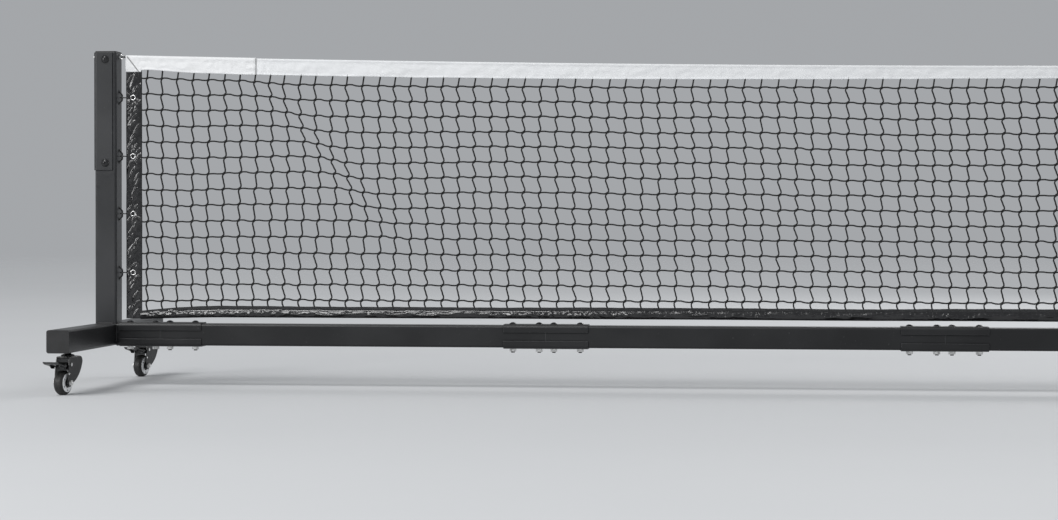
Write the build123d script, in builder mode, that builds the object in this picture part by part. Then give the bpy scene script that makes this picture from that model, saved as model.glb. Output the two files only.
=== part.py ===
from build123d import *
import os

os.makedirs("parts", exist_ok=True)

# A wheeled pickleball net. X runs along the net, Y across it and Z up, in millimetres.
# The origin is on the floor, midway between the two posts.

# Driving dimensions
POST_SPACING = 6706.0
NET_HEIGHT_AT_POST = 912.0
NET_HEIGHT_AT_CENTRE = 865.5
POST_X = POST_SPACING / 2

TUBE = 60.0
WALL = 2.5
CORNER = 6.0
HALF = TUBE / 2
PLATE = 3.0

FOOT_LENGTH = 910.0
FOOT_BOTTOM = 111.0
FOOT_TOP = FOOT_BOTTOM + TUBE
BEAM_Z = FOOT_BOTTOM + HALF
POST_TOP = 918.0

SECTION_COUNT = 6
SECTION_LENGTH = 1066.5
STUB_REACH = (POST_SPACING - SECTION_COUNT * SECTION_LENGTH) / 2
JOINT_X = [-POST_X + STUB_REACH + i * SECTION_LENGTH for i in range(SECTION_COUNT + 1)]

SPLICE_LENGTH = 230.0
SPLICE_FLANGE = 18.5
BOLT_OFFSETS = (-92.0, -20.0, 20.0, 92.0)
BOLT_RADIUS = 5.0
BOLT_HOLE_RADIUS = 5.2
NUT_HEIGHT = 8.4

CHANNEL_BOTTOM = 594.0
CHANNEL_FLANGE_REACH = 20.0
POST_BOLT_HEIGHTS = (614.0, 899.0)
EYE_HOLE_RADIUS = 3.2
LOOP_HEIGHTS = (311.0, 474.0, 633.0, 795.0)

NET_START = 50.0
NET_END = POST_X - NET_START
SIDE_BAND_WIDTH = 44.5
PANEL_END = NET_END - SIDE_BAND_WIDTH
BAND_HALF = 2.0
PANEL_HALF = 1.5
BEAD_RADIUS = 4.5
HEADBAND_EDGE_AT_POST = 866.0
HEADBAND_EDGE_AT_CENTRE = 829.0
NET_BOTTOM = 188.0
SIDE_BAND_BOTTOM = 184.0
BOTTOM_BAND_TOP = 218.0
GROMMET_OFFSET = 70.0
GROMMET_SLEEVE_RADIUS = 6.5
GROMMET_BORE_RADIUS = 4.5

CABLE_RADIUS = 2.5
CABLE_END = POST_X - 47.5
CABLE_Z = NET_HEIGHT_AT_POST - BEAD_RADIUS
CABLE_DROOP = NET_HEIGHT_AT_POST - NET_HEIGHT_AT_CENTRE

CASTER_Y = 372.0
CASTER_TURN = 12.0
TRAIL = 25.0
WHEEL_RADIUS = 31.75
STEM_RADIUS = 6.0
FORK_TOP = 100.0
FORK_SHEET = 2.5
FORK_HALF_WIDTH = 20.0
AXLE_RADIUS = 4.0
PIN_X = -17.0
PIN_Z = 79.0
PIN_RADIUS = 3.0
RUNNING_GAP = 0.1


def save(part, name):
    part.label = name
    export_step(part, f"parts/{name}.step")


def save_pair(part, name):
    """The left piece as it stands, and its mirror image on the right."""
    save(part, f"left_{name}")
    save(part.mirror(Plane.YZ), f"right_{name}")


# Foot tubes: they lie across the net and carry the casters under their bottom walls.
with BuildPart() as left_foot_tube:
    with BuildSketch(Plane.XZ.offset(-FOOT_LENGTH / 2)):
        with Locations((-POST_X, BEAM_Z)):
            RectangleRounded(TUBE, TUBE, CORNER)
            RectangleRounded(TUBE - 2 * WALL, TUBE - 2 * WALL, CORNER - WALL, mode=Mode.SUBTRACT)
    extrude(amount=FOOT_LENGTH)
    with BuildSketch(Plane.XY.offset(FOOT_BOTTOM)):
        with Locations((-POST_X, -CASTER_Y), (-POST_X, CASTER_Y)):
            Circle(STEM_RADIUS + 2 * RUNNING_GAP)
    extrude(amount=WALL, mode=Mode.SUBTRACT)
save_pair(left_foot_tube.part, "foot_tube")

# Posts: upright tubes, coped at the bottom over the rounded top of the foot.
with BuildPart() as left_post:
    with BuildSketch(Plane.XY.offset(FOOT_TOP - CORNER)):
        with Locations((-POST_X, 0)):
            RectangleRounded(TUBE, TUBE, CORNER)
            RectangleRounded(TUBE - 2 * WALL, TUBE - 2 * WALL, CORNER - WALL, mode=Mode.SUBTRACT)
    extrude(amount=POST_TOP - FOOT_TOP + CORNER)
    with BuildSketch(Plane.XZ.offset(-TUBE)):
        with Locations((-POST_X, BEAM_Z)):
            RectangleRounded(TUBE, TUBE, CORNER)
    extrude(amount=2 * TUBE, mode=Mode.SUBTRACT)
    with BuildSketch(Plane.XZ):
        with Locations(*[(-POST_X, z) for z in POST_BOLT_HEIGHTS]):
            Circle(BOLT_HOLE_RADIUS)
    extrude(amount=TUBE, both=True, mode=Mode.SUBTRACT)
    with BuildSketch(Plane.YZ.offset(-POST_X)):
        with Locations((0, CABLE_Z)):
            Circle(EYE_HOLE_RADIUS)
    extrude(amount=TUBE, both=True, mode=Mode.SUBTRACT)
save_pair(left_post.part, "post")

# Outer channels: pressed over the outer face of each post and bolted through it.
with BuildPart() as left_post_channel:
    with BuildSketch(Plane.XY.offset(CHANNEL_BOTTOM)):
        with Locations((-POST_X, 0)):
            RectangleRounded(TUBE + 2 * PLATE, TUBE + 2 * PLATE, CORNER + PLATE)
            RectangleRounded(TUBE, TUBE, CORNER, mode=Mode.SUBTRACT)
        with Locations((-POST_X + CHANNEL_FLANGE_REACH, 0)):
            Rectangle(TUBE, 2 * TUBE, align=(Align.MIN, Align.CENTER), mode=Mode.SUBTRACT)
    extrude(amount=POST_TOP - CHANNEL_BOTTOM)
    with BuildSketch(Plane.XZ):
        with Locations(*[(-POST_X, z) for z in POST_BOLT_HEIGHTS]):
            Circle(BOLT_HOLE_RADIUS)
    extrude(amount=TUBE, both=True, mode=Mode.SUBTRACT)
    with BuildSketch(Plane.YZ.offset(-POST_X)):
        with Locations((0, CABLE_Z)):
            Circle(EYE_HOLE_RADIUS)
    extrude(amount=-TUBE, mode=Mode.SUBTRACT)
save_pair(left_post_channel.part, "post_channel")

# Beam stubs: welded to the inner side of each foot, coped to its rounded corners.
with BuildPart() as left_beam_stub:
    with BuildSketch(Plane.YZ.offset(-POST_X + HALF - CORNER)):
        with Locations((0, BEAM_Z)):
            RectangleRounded(TUBE, TUBE, CORNER)
            RectangleRounded(TUBE - 2 * WALL, TUBE - 2 * WALL, CORNER - WALL, mode=Mode.SUBTRACT)
    extrude(amount=STUB_REACH - HALF + CORNER)
    with BuildSketch(Plane.XZ.offset(-TUBE)):
        with Locations((-POST_X, BEAM_Z)):
            RectangleRounded(TUBE, TUBE, CORNER)
    extrude(amount=2 * TUBE, mode=Mode.SUBTRACT)
    with BuildSketch(Plane.XY.offset(FOOT_TOP - CORNER)):
        with Locations((-POST_X, 0)):
            RectangleRounded(TUBE, TUBE, CORNER)
    extrude(amount=TUBE, mode=Mode.SUBTRACT)
    with BuildSketch(Plane.XY.offset(BEAM_Z)):
        with Locations(*[(JOINT_X[0] + x, 0) for x in BOLT_OFFSETS if x < 0]):
            Circle(BOLT_HOLE_RADIUS)
    extrude(amount=TUBE, both=True, mode=Mode.SUBTRACT)
save_pair(left_beam_stub.part, "beam_stub")

# Beam sections: equal tubes, drilled near both ends for the splice bolts.
with BuildPart() as beam_section:
    with BuildSketch(Plane.YZ):
        with Locations((0, BEAM_Z)):
            RectangleRounded(TUBE, TUBE, CORNER)
            RectangleRounded(TUBE - 2 * WALL, TUBE - 2 * WALL, CORNER - WALL, mode=Mode.SUBTRACT)
    extrude(amount=SECTION_LENGTH)
    with BuildSketch(Plane.XY.offset(BEAM_Z)):
        near_end = [x for x in BOLT_OFFSETS if x > 0]
        far_end = [SECTION_LENGTH - x for x in near_end]
        with Locations(*[(x, 0) for x in near_end + far_end]):
            Circle(BOLT_HOLE_RADIUS)
    extrude(amount=TUBE, both=True, mode=Mode.SUBTRACT)
for number in range(SECTION_COUNT):
    placed = beam_section.part.moved(Location((JOINT_X[number], 0, 0)))
    save(placed, f"beam_section_{number + 1}")

# Splices: a channel plate above and one below every joint of the beam.
with BuildPart() as splice:
    with BuildSketch(Plane.YZ.offset(-SPLICE_LENGTH / 2)):
        with Locations((0, BEAM_Z)):
            RectangleRounded(TUBE + 2 * PLATE, TUBE + 2 * PLATE, CORNER + PLATE)
            RectangleRounded(TUBE, TUBE, CORNER, mode=Mode.SUBTRACT)
            Rectangle(2 * TUBE, TUBE - 2 * SPLICE_FLANGE, mode=Mode.SUBTRACT)
    extrude(amount=SPLICE_LENGTH)
    with BuildSketch(Plane.XY.offset(BEAM_Z)):
        with Locations(*[(x, 0) for x in BOLT_OFFSETS]):
            Circle(BOLT_HOLE_RADIUS)
    extrude(amount=TUBE, both=True, mode=Mode.SUBTRACT)
for number, joint_x in enumerate(JOINT_X):
    placed = splice.part.moved(Location((joint_x, 0, 0)))
    save(placed, f"splice_{number + 1}")

# Splice bolts: domed carriage heads above, shanks down through both plates and the tube.
HEAD_RADIUS = 10.0
HEAD_HEIGHT = 5.5
THREAD_END = FOOT_BOTTOM - PLATE - NUT_HEIGHT - 3.0
with BuildPart() as splice_bolt:
    with BuildSketch(Plane.XZ):
        with BuildLine():
            base = FOOT_TOP + PLATE
            dome = ThreePointArc((0, base + HEAD_HEIGHT), (6.2, base + 4.1), (HEAD_RADIUS, base + 1))
            outline = Polyline(
                dome @ 1, (HEAD_RADIUS, base), (BOLT_RADIUS, base), (BOLT_RADIUS, THREAD_END), (0, THREAD_END)
            )
            Line(outline @ 1, dome @ 0)
        make_face()
    revolve(axis=Axis.Z)
bolt_points = [(joint_x + x, 0) for joint_x in JOINT_X for x in BOLT_OFFSETS]
with BuildPart() as splice_bolts:
    with Locations(*bolt_points):
        add(splice_bolt.part)
save(splice_bolts.part, "splice_bolts")

# Splice nuts: hexagons on the bolts, hard against the lower plates.
with BuildPart() as splice_nuts:
    with BuildSketch(Plane.XY.offset(FOOT_BOTTOM - PLATE - NUT_HEIGHT)):
        with Locations(*bolt_points):
            RegularPolygon(8.2, 6, major_radius=False)
            Circle(BOLT_RADIUS, mode=Mode.SUBTRACT)
    extrude(amount=NUT_HEIGHT)
save(splice_nuts.part, "splice_nuts")

# Post bolts: button heads on the front of the channels, nuts behind.
with BuildPart() as post_bolt:
    with BuildSketch(Plane.XY):
        with BuildLine():
            face = -HALF - PLATE
            tip = HALF + PLATE + NUT_HEIGHT + 3.0
            dome = ThreePointArc((0, face - 6), (6.6, face - 4.6), (10.5, face - 1))
            outline = Polyline(dome @ 1, (10.5, face), (BOLT_RADIUS, face), (BOLT_RADIUS, tip), (0, tip))
            Line(outline @ 1, dome @ 0)
        make_face()
    revolve(axis=Axis.Y)
    with BuildSketch(Plane.XZ.offset(-face + 3)):
        RegularPolygon(3, 6, major_radius=False)
    extrude(amount=4, mode=Mode.SUBTRACT)
post_bolt_points = [(side * POST_X, 0, z) for side in (-1, 1) for z in POST_BOLT_HEIGHTS]
with BuildPart() as post_bolts:
    with Locations(*post_bolt_points):
        add(post_bolt.part)
save(post_bolts.part, "post_bolts")

with BuildPart() as post_nuts:
    with BuildSketch(Plane.XZ.offset(-HALF - PLATE)):
        with Locations(*[(x, z) for x, _, z in post_bolt_points]):
            RegularPolygon(8.2, 6, major_radius=False)
            Circle(BOLT_RADIUS, mode=Mode.SUBTRACT)
    extrude(amount=-NUT_HEIGHT)
save(post_nuts.part, "post_nuts")

# Plastic caps: a flange over the tube's end and a short plug inside it.
CAP_FLANGE = 4.0
PLUG = TUBE - 2 * WALL - 0.4
with BuildPart() as post_caps:
    with BuildSketch(Plane.XY.offset(POST_TOP)):
        with Locations((-POST_X, 0), (POST_X, 0)):
            RectangleRounded(TUBE, TUBE, CORNER)
    extrude(amount=CAP_FLANGE)
    chamfer(post_caps.faces().group_by(Axis.Z)[-1].edges(), 1.2)
    with BuildSketch(Plane.XY.offset(POST_TOP)):
        with Locations((-POST_X, 0), (POST_X, 0)):
            RectangleRounded(PLUG, PLUG, CORNER - WALL)
    extrude(amount=-4.5)
save(post_caps.part, "post_caps")

END_FLANGE = 2.2
END_PLUG = 14.0
with BuildPart() as foot_end_caps:
    for side in (-1, 1):
        with BuildSketch(Plane.XZ.offset(side * FOOT_LENGTH / 2)):
            with Locations((-POST_X, BEAM_Z), (POST_X, BEAM_Z)):
                RectangleRounded(TUBE, TUBE, CORNER)
        extrude(amount=side * END_FLANGE)
        with BuildSketch(Plane.XZ.offset(side * FOOT_LENGTH / 2)):
            with Locations((-POST_X, BEAM_Z), (POST_X, BEAM_Z)):
                RectangleRounded(PLUG, PLUG, CORNER - WALL)
        extrude(amount=-side * END_PLUG)
save(foot_end_caps.part, "foot_end_caps")

# Net loops: bent rod welded to the inner face of each post, one for every net hook.
LOOP_ROD = 2.0
LOOP_X = HALF + 9.0
with BuildPart() as net_loop:
    with BuildLine(Plane.XZ) as loop_route:
        FilletPolyline((HALF - 3, 20), (LOOP_X, 8), (LOOP_X, -8), (HALF - 3, -20), radius=4)
    with BuildSketch(Plane(origin=loop_route.line @ 0, z_dir=loop_route.line % 0)):
        Circle(LOOP_ROD)
    sweep(path=loop_route.line)
    split(bisect_by=Plane.YZ.offset(HALF), keep=Keep.TOP)
with BuildPart() as net_loops:
    with Locations(*[(-POST_X, 0, z) for z in LOOP_HEIGHTS]):
        add(net_loop.part)
    mirror(about=Plane.YZ)
save(net_loops.part, "net_loops")

# Eye bolts: the ring faces the net, the shank crosses the post and a nut holds it outside.
EYE_X = HALF + 7.5
EYE_RADIUS = 5.5
EYE_ROD = 1.75
with BuildPart() as eye_bolts:
    with BuildSketch(Plane.XY.offset(CABLE_Z)):
        with Locations((-POST_X + EYE_X + EYE_RADIUS, 0)):
            Circle(EYE_ROD)
    revolve(axis=Axis((-POST_X + EYE_X, 0, CABLE_Z), (0, 1, 0)))
    with BuildSketch(Plane.YZ.offset(-POST_X - HALF - PLATE - 8)):
        with Locations((0, CABLE_Z)):
            Circle(EYE_HOLE_RADIUS - 2 * RUNNING_GAP)
    extrude(amount=2 * HALF + PLATE + 9.5)
    with BuildSketch(Plane.YZ.offset(-POST_X - HALF - PLATE)):
        with Locations((0, CABLE_Z)):
            RegularPolygon(5, 6, major_radius=False)
    extrude(amount=-5)
    mirror(about=Plane.YZ)
save(eye_bolts.part, "eye_bolts")


def drooping_line(reach, end_z, middle_z):
    """One shallow arc over the whole net, lowest at its centre."""
    return ThreePointArc((-reach, end_z), (0, middle_z), (reach, end_z))


def headband_edge():
    """The lower edge of the headband, where the net hangs from it."""
    return drooping_line(POST_X, HEADBAND_EDGE_AT_POST, HEADBAND_EDGE_AT_CENTRE)


# The top cable is straight runs between points on its arc, and the headband follows the same runs.
CABLE_RUNS = 4
with BuildLine(Plane.XZ) as cable_arc:
    drooping_line(CABLE_END, CABLE_Z, CABLE_Z - CABLE_DROOP)
CABLE_POINTS = [cable_arc.line @ (i / CABLE_RUNS) for i in range(CABLE_RUNS + 1)]

# Top cable: a loop through each eye bolt and one long shallow line between them.
LOOP_RADIUS = 5.0
with BuildPart() as top_cable:
    with BuildLine() as cable_route:
        Polyline(*CABLE_POINTS)
    with BuildSketch(Plane(origin=cable_route.line @ 0, z_dir=cable_route.line % 0)):
        Circle(CABLE_RADIUS)
    sweep(path=cable_route.line, transition=Transition.RIGHT)
    for side in (-1, 1):
        loop_x = side * (CABLE_END + LOOP_RADIUS)
        with BuildSketch(Plane.XZ):
            with Locations((loop_x + LOOP_RADIUS, CABLE_Z)):
                Circle(EYE_ROD)
        revolve(axis=Axis((loop_x, 0, CABLE_Z), (0, 0, 1)))
save(top_cable.part, "top_cable")

# Headband: folded over the cable, a round bead above a flat skirt.
with BuildPart() as headband:
    with BuildLine() as bead_route:
        Polyline(*CABLE_POINTS)
    section_plane = Plane(origin=bead_route.line @ 0, x_dir=(0, 1, 0), z_dir=bead_route.line % 0)
    with BuildSketch(section_plane) as section:
        Circle(BEAD_RADIUS)
        Rectangle(2 * BAND_HALF, 2 * CABLE_DROOP, align=(Align.CENTER, Align.MAX))
        Circle(CABLE_RADIUS + 2 * RUNNING_GAP, mode=Mode.SUBTRACT)
    sweep(path=bead_route.line, transition=Transition.RIGHT)
    with BuildSketch(Plane.XZ):
        with BuildLine():
            edge = headband_edge()
            Polyline(edge @ 0, (-POST_X, POST_TOP), (POST_X, POST_TOP), edge @ 1)
        make_face()
        with Locations((0, CABLE_Z)):
            Rectangle(2 * NET_END, POST_TOP, mode=Mode.INTERSECT)
    extrude(amount=TUBE, both=True, mode=Mode.INTERSECT)
save(headband.part, "headband")


def hanging_panel(low_x, high_x, low_z, half_thickness):
    """A flat panel from a level bottom edge up to the headband, between two uprights."""
    with BuildPart() as panel:
        with BuildSketch(Plane.XZ):
            with BuildLine():
                edge = headband_edge()
                Polyline(edge @ 0, (-POST_X, low_z), (POST_X, low_z), edge @ 1)
            make_face()
            with Locations(((low_x + high_x) / 2, low_z)):
                Rectangle(high_x - low_x, 2 * POST_TOP, mode=Mode.INTERSECT)
        extrude(amount=half_thickness, both=True)
    return panel.part


# Net panel: the mesh between the bands, as one thin sheet.
save(hanging_panel(-PANEL_END, PANEL_END, BOTTOM_BAND_TOP, PANEL_HALF), "net_panel")

# Side bands: upright strips at the ends of the net, holed for the grommets.
with BuildPart() as left_side_band:
    add(hanging_panel(-NET_END, -PANEL_END, SIDE_BAND_BOTTOM, BAND_HALF))
    with BuildSketch(Plane.XZ):
        with Locations(*[(-POST_X + GROMMET_OFFSET, z) for z in LOOP_HEIGHTS]):
            Circle(GROMMET_SLEEVE_RADIUS)
    extrude(amount=TUBE, both=True, mode=Mode.SUBTRACT)
save_pair(left_side_band.part, "side_band")

# Bottom band: a level strip along the foot of the mesh.
with BuildPart() as bottom_band:
    with BuildSketch(Plane.XY.offset(NET_BOTTOM)):
        Rectangle(2 * PANEL_END, 2 * BAND_HALF)
    extrude(amount=BOTTOM_BAND_TOP - NET_BOTTOM)
save(bottom_band.part, "bottom_band")

# Grommets: a sleeve through the side band with a flange on both faces.
GROMMET_FLANGE_RADIUS = 10.0
GROMMET_FLANGE = 0.8
with BuildPart() as net_grommets:
    grommet_points = [(side * (POST_X - GROMMET_OFFSET), z) for side in (-1, 1) for z in LOOP_HEIGHTS]
    with BuildSketch(Plane.XZ):
        with Locations(*grommet_points):
            Circle(GROMMET_SLEEVE_RADIUS)
            Circle(GROMMET_BORE_RADIUS, mode=Mode.SUBTRACT)
    extrude(amount=BAND_HALF + GROMMET_FLANGE, both=True)
    for face_y in (-1, 1):
        with BuildSketch(Plane.XZ.offset(face_y * BAND_HALF)):
            with Locations(*grommet_points):
                Circle(GROMMET_FLANGE_RADIUS)
                Circle(GROMMET_BORE_RADIUS, mode=Mode.SUBTRACT)
        extrude(amount=face_y * GROMMET_FLANGE)
save(net_grommets.part, "net_grommets")

# Net hooks: open wire links, each round a net loop and through a grommet.
HOOK_WIRE = 1.5
HOOK_REACH = 4.5
with BuildPart() as net_hook:
    with BuildLine() as hook_route:
        first_x = LOOP_X - 1
        last_x = GROMMET_OFFSET - 3
        tail = Line((first_x + 5, -HOOK_REACH), (first_x, -HOOK_REACH))
        turn = ThreePointArc(tail @ 1, (first_x - HOOK_REACH, 0), (first_x, HOOK_REACH))
        back = Line(turn @ 1, (last_x, HOOK_REACH))
        second_turn = ThreePointArc(back @ 1, (last_x + HOOK_REACH, 0), (last_x, -HOOK_REACH))
        Line(second_turn @ 1, (last_x - 5, -HOOK_REACH))
    with BuildSketch(Plane(origin=hook_route.line @ 0, z_dir=hook_route.line % 0)):
        Circle(HOOK_WIRE)
    sweep(path=hook_route.line)
with BuildPart() as net_hooks:
    with Locations(*[(-POST_X, 0, z) for z in LOOP_HEIGHTS]):
        add(net_hook.part)
    mirror(about=Plane.YZ)
save(net_hooks.part, "net_hooks")

# Casters, built round a stem on the Z axis, rolling along X, with the wheel trailing behind.

# Stem: held in the foot, with a bearing cup above the fork and a head below its top plate.
with BuildPart() as stem:
    with BuildSketch(Plane.XZ):
        with BuildLine():
            Polyline(
                (0, FORK_TOP - FORK_SHEET - 3.5),
                (12, FORK_TOP - FORK_SHEET - 3.5),
                (12, FORK_TOP - FORK_SHEET - 0.5),
                (STEM_RADIUS, FORK_TOP - FORK_SHEET - 0.5),
                (STEM_RADIUS, FORK_TOP + 0.5),
                (18, FORK_TOP + 0.5),
                (17, FORK_TOP + 3.5),
                (9, FORK_TOP + 6),
                (9, FOOT_BOTTOM),
                (STEM_RADIUS, FOOT_BOTTOM),
                (STEM_RADIUS, FOOT_BOTTOM + 26),
                (0, FOOT_BOTTOM + 26),
                close=True,
            )
        make_face()
    revolve(axis=Axis.Z)
    with BuildSketch(Plane.XY.offset(FOOT_BOTTOM + WALL)):
        RegularPolygon(9.2, 6, major_radius=False)
    extrude(amount=NUT_HEIGHT)
with BuildPart() as caster_stems:
    with Locations(*[(x, y, 0) for x in (-POST_X, POST_X) for y in (-CASTER_Y, CASTER_Y)]):
        add(stem.part)
save(caster_stems.part, "caster_stems")

# Fork: one pressed sheet with broad cheeks that narrow down to the axle.
with BuildPart() as fork:
    with BuildSketch(Plane.XZ):
        with BuildLine():
            top_edge = Line((-24, FORK_TOP), (31, FORK_TOP))
            nose = ThreePointArc(top_edge @ 1, (38.5, FORK_TOP - 5), (42, FORK_TOP - 15))
            front = ThreePointArc(nose @ 1, (28, 57), (-15.5, 28.5))
            foot = ThreePointArc(front @ 1, (-TRAIL, WHEEL_RADIUS - 10), (-34.5, 29))
            rear = Line(foot @ 1, (-31, 66))
            Line(rear @ 1, top_edge @ 0)
        make_face()
    extrude(amount=FORK_HALF_WIDTH, both=True)
    top_edges = fork.faces().sort_by(Axis.Z)[-1].edges().filter_by(Axis.X)
    fillet(top_edges, 4)
    with BuildSketch(Plane.XZ):
        with Locations((0, FORK_TOP - FORK_SHEET)):
            Rectangle(200, 200, align=(Align.CENTER, Align.MAX))
    extrude(amount=FORK_HALF_WIDTH - FORK_SHEET, both=True, mode=Mode.SUBTRACT)
    with BuildSketch(Plane.XY.offset(FORK_TOP)):
        Circle(STEM_RADIUS + 2 * RUNNING_GAP)
    extrude(amount=-2 * FORK_SHEET, mode=Mode.SUBTRACT)
    with BuildSketch(Plane.XZ):
        with Locations((-TRAIL, WHEEL_RADIUS)):
            Circle(AXLE_RADIUS + RUNNING_GAP)
        with Locations((PIN_X, PIN_Z)):
            Circle(PIN_RADIUS + RUNNING_GAP)
    extrude(amount=2 * FORK_HALF_WIDTH, both=True, mode=Mode.SUBTRACT)

# Axle set: the axle bolt with its nut, and the pin of the brake pedal.
with BuildPart() as axle_set:
    with BuildSketch(Plane.XZ.offset(-FORK_HALF_WIDTH)):
        with Locations((-TRAIL, WHEEL_RADIUS)):
            RegularPolygon(6.5, 6, major_radius=False)
    extrude(amount=-5)
    with BuildSketch(Plane.XZ.offset(FORK_HALF_WIDTH)):
        with Locations((-TRAIL, WHEEL_RADIUS)):
            RegularPolygon(6.5, 6, major_radius=False)
    extrude(amount=6.5)
    with BuildSketch(Plane.XZ.offset(-FORK_HALF_WIDTH)):
        with Locations((-TRAIL, WHEEL_RADIUS)):
            Circle(AXLE_RADIUS)
    extrude(amount=2 * FORK_HALF_WIDTH + 9)
    for side in (-1, 1):
        with BuildSketch(Plane.XZ.offset(side * FORK_HALF_WIDTH)):
            with Locations((PIN_X, PIN_Z)):
                Circle(PIN_RADIUS + 1.5)
        extrude(amount=side * 1.8)
    with BuildSketch(Plane.XZ.offset(-FORK_HALF_WIDTH)):
        with Locations((PIN_X, PIN_Z)):
            Circle(PIN_RADIUS)
    extrude(amount=2 * FORK_HALF_WIDTH)

# Hub: a core with a broad side ring on each face, pierced by round holes, and a long boss.
HUB_HALF = 14.0
CORE_HALF = 11.0
RING_RADIUS = 24.5
CORE_RADIUS = 20.0
BOSS_HALF = FORK_HALF_WIDTH - FORK_SHEET - 0.6
with BuildPart() as hub:
    with BuildSketch(Plane.XY.offset(WHEEL_RADIUS)):
        with BuildLine():
            Polyline(
                (-TRAIL + AXLE_RADIUS + RUNNING_GAP, -BOSS_HALF),
                (-TRAIL + 8, -BOSS_HALF),
                (-TRAIL + 8, -CORE_HALF),
                (-TRAIL + 12, -CORE_HALF),
                (-TRAIL + 13.5, -HUB_HALF),
                (-TRAIL + RING_RADIUS - 1, -HUB_HALF),
                (-TRAIL + RING_RADIUS, -HUB_HALF + 1),
                (-TRAIL + RING_RADIUS, -CORE_HALF),
                (-TRAIL + CORE_RADIUS, -CORE_HALF),
                (-TRAIL + CORE_RADIUS, 0),
                (-TRAIL + AXLE_RADIUS + RUNNING_GAP, 0),
                close=True,
            )
        make_face()
    revolve(axis=Axis((-TRAIL, 0, WHEEL_RADIUS), (0, 1, 0)))
    mirror(about=Plane.XZ)
    with BuildSketch(Plane.XZ):
        with Locations((-TRAIL, WHEEL_RADIUS)):
            with PolarLocations(18.7, 6, start_angle=30):
                Circle(2.2)
    extrude(amount=2 * HUB_HALF, both=True, mode=Mode.SUBTRACT)

# Tyre: a solid ring moulded on the core, level across its tread and rounded down to the hub.
TREAD_HALF = 4.0
SHOULDER_RADIUS = 29.71
SHOULDER_HALF = 9.78
with BuildPart() as tyre:
    with BuildSketch(Plane.XY.offset(WHEEL_RADIUS)):
        with BuildLine():
            inner = Polyline(
                (-TRAIL + RING_RADIUS, -HUB_HALF + 1),
                (-TRAIL + RING_RADIUS, -CORE_HALF),
                (-TRAIL + CORE_RADIUS, -CORE_HALF),
                (-TRAIL + CORE_RADIUS, CORE_HALF),
                (-TRAIL + RING_RADIUS, CORE_HALF),
                (-TRAIL + RING_RADIUS, HUB_HALF - 1),
            )
            rear_tread = (-TRAIL + WHEEL_RADIUS, TREAD_HALF)
            front_tread = (-TRAIL + WHEEL_RADIUS, -TREAD_HALF)
            ThreePointArc(inner @ 1, (-TRAIL + SHOULDER_RADIUS, SHOULDER_HALF), rear_tread)
            Line(rear_tread, front_tread)
            ThreePointArc(front_tread, (-TRAIL + SHOULDER_RADIUS, -SHOULDER_HALF), inner @ 0)
        make_face()
    revolve(axis=Axis((-TRAIL, 0, WHEEL_RADIUS), (0, 1, 0)))

# Brake pedal: a narrow arm on the pin, a broad tread behind the fork and a shoe over the tyre.
PEDAL_SHEET = 2.5
ARM_HALF_WIDTH = 15.0
TREAD_HALF_WIDTH = 22.0
SHOE_HALF_WIDTH = 11.0
PIVOT_RADIUS = 5.5
ARM = [(PIN_X, PIN_Z + 5.4), (-48, 78), (-48, 74.5), (-39, 72), (-37, 67), (-27, 67.5), (PIN_X, 75)]
TREAD = [(-44, 78.6), (-52, 77.4), (-82, 84.8), (-90, 89), (-90, 86), (-83, 82), (-52, 74.8), (-44, 76)]
GUSSET = [(-46, 76), (-72, 81), (-60, 70), (-46, 69)]
INSIDE = [(-30, 76), (-51, 75.8), (-74, 81.2), (-61, 66), (-30, 62)]
SHOE = [(-26, 76), (-39, 76), (-37, 67), (-27, 67.5)]


def side_shape(corners, half_width):
    """A shape drawn in the caster's side view and carried out to both sides."""
    with BuildPart() as shape:
        with BuildSketch(Plane.XZ):
            with BuildLine():
                Polyline(*corners, close=True)
            make_face()
        extrude(amount=half_width, both=True)
    return shape.part


with BuildPart() as pedal:
    add(side_shape(ARM, ARM_HALF_WIDTH))
    with BuildSketch(Plane.XZ):
        with Locations((PIN_X, PIN_Z)):
            Circle(PIVOT_RADIUS)
    extrude(amount=ARM_HALF_WIDTH, both=True)
    add(side_shape(TREAD, TREAD_HALF_WIDTH))
    add(side_shape(GUSSET, ARM_HALF_WIDTH))
    add(side_shape(INSIDE, ARM_HALF_WIDTH - PEDAL_SHEET), mode=Mode.SUBTRACT)
    add(side_shape(SHOE, SHOE_HALF_WIDTH))
    with BuildSketch(Plane.XZ):
        with Locations((PIN_X, PIN_Z)):
            Circle(PIN_RADIUS + RUNNING_GAP)
    extrude(amount=2 * FORK_HALF_WIDTH, both=True, mode=Mode.SUBTRACT)

# The same five pieces stand at all four places, each wheel trailing to the front and outwards.
PLACES = {
    "left_front": (-POST_X, -CASTER_Y, 90 - CASTER_TURN),
    "left_rear": (-POST_X, CASTER_Y, 90 - CASTER_TURN),
    "right_front": (POST_X, -CASTER_Y, 90 + CASTER_TURN),
    "right_rear": (POST_X, CASTER_Y, 90 + CASTER_TURN),
}
CASTER_PIECES = {"fork": fork, "axle_set": axle_set, "hub": hub, "tyre": tyre, "brake_pedal": pedal}
for place, (stem_x, stem_y, heading) in PLACES.items():
    for piece_name, piece in CASTER_PIECES.items():
        placed = piece.part.moved(Location((stem_x, stem_y, 0), (0, 0, heading)))
        save(placed, f"{place}_{piece_name}")
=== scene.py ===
import math
import random

import bpy
import numpy as np
from mathutils import Matrix, Vector, noise


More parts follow.
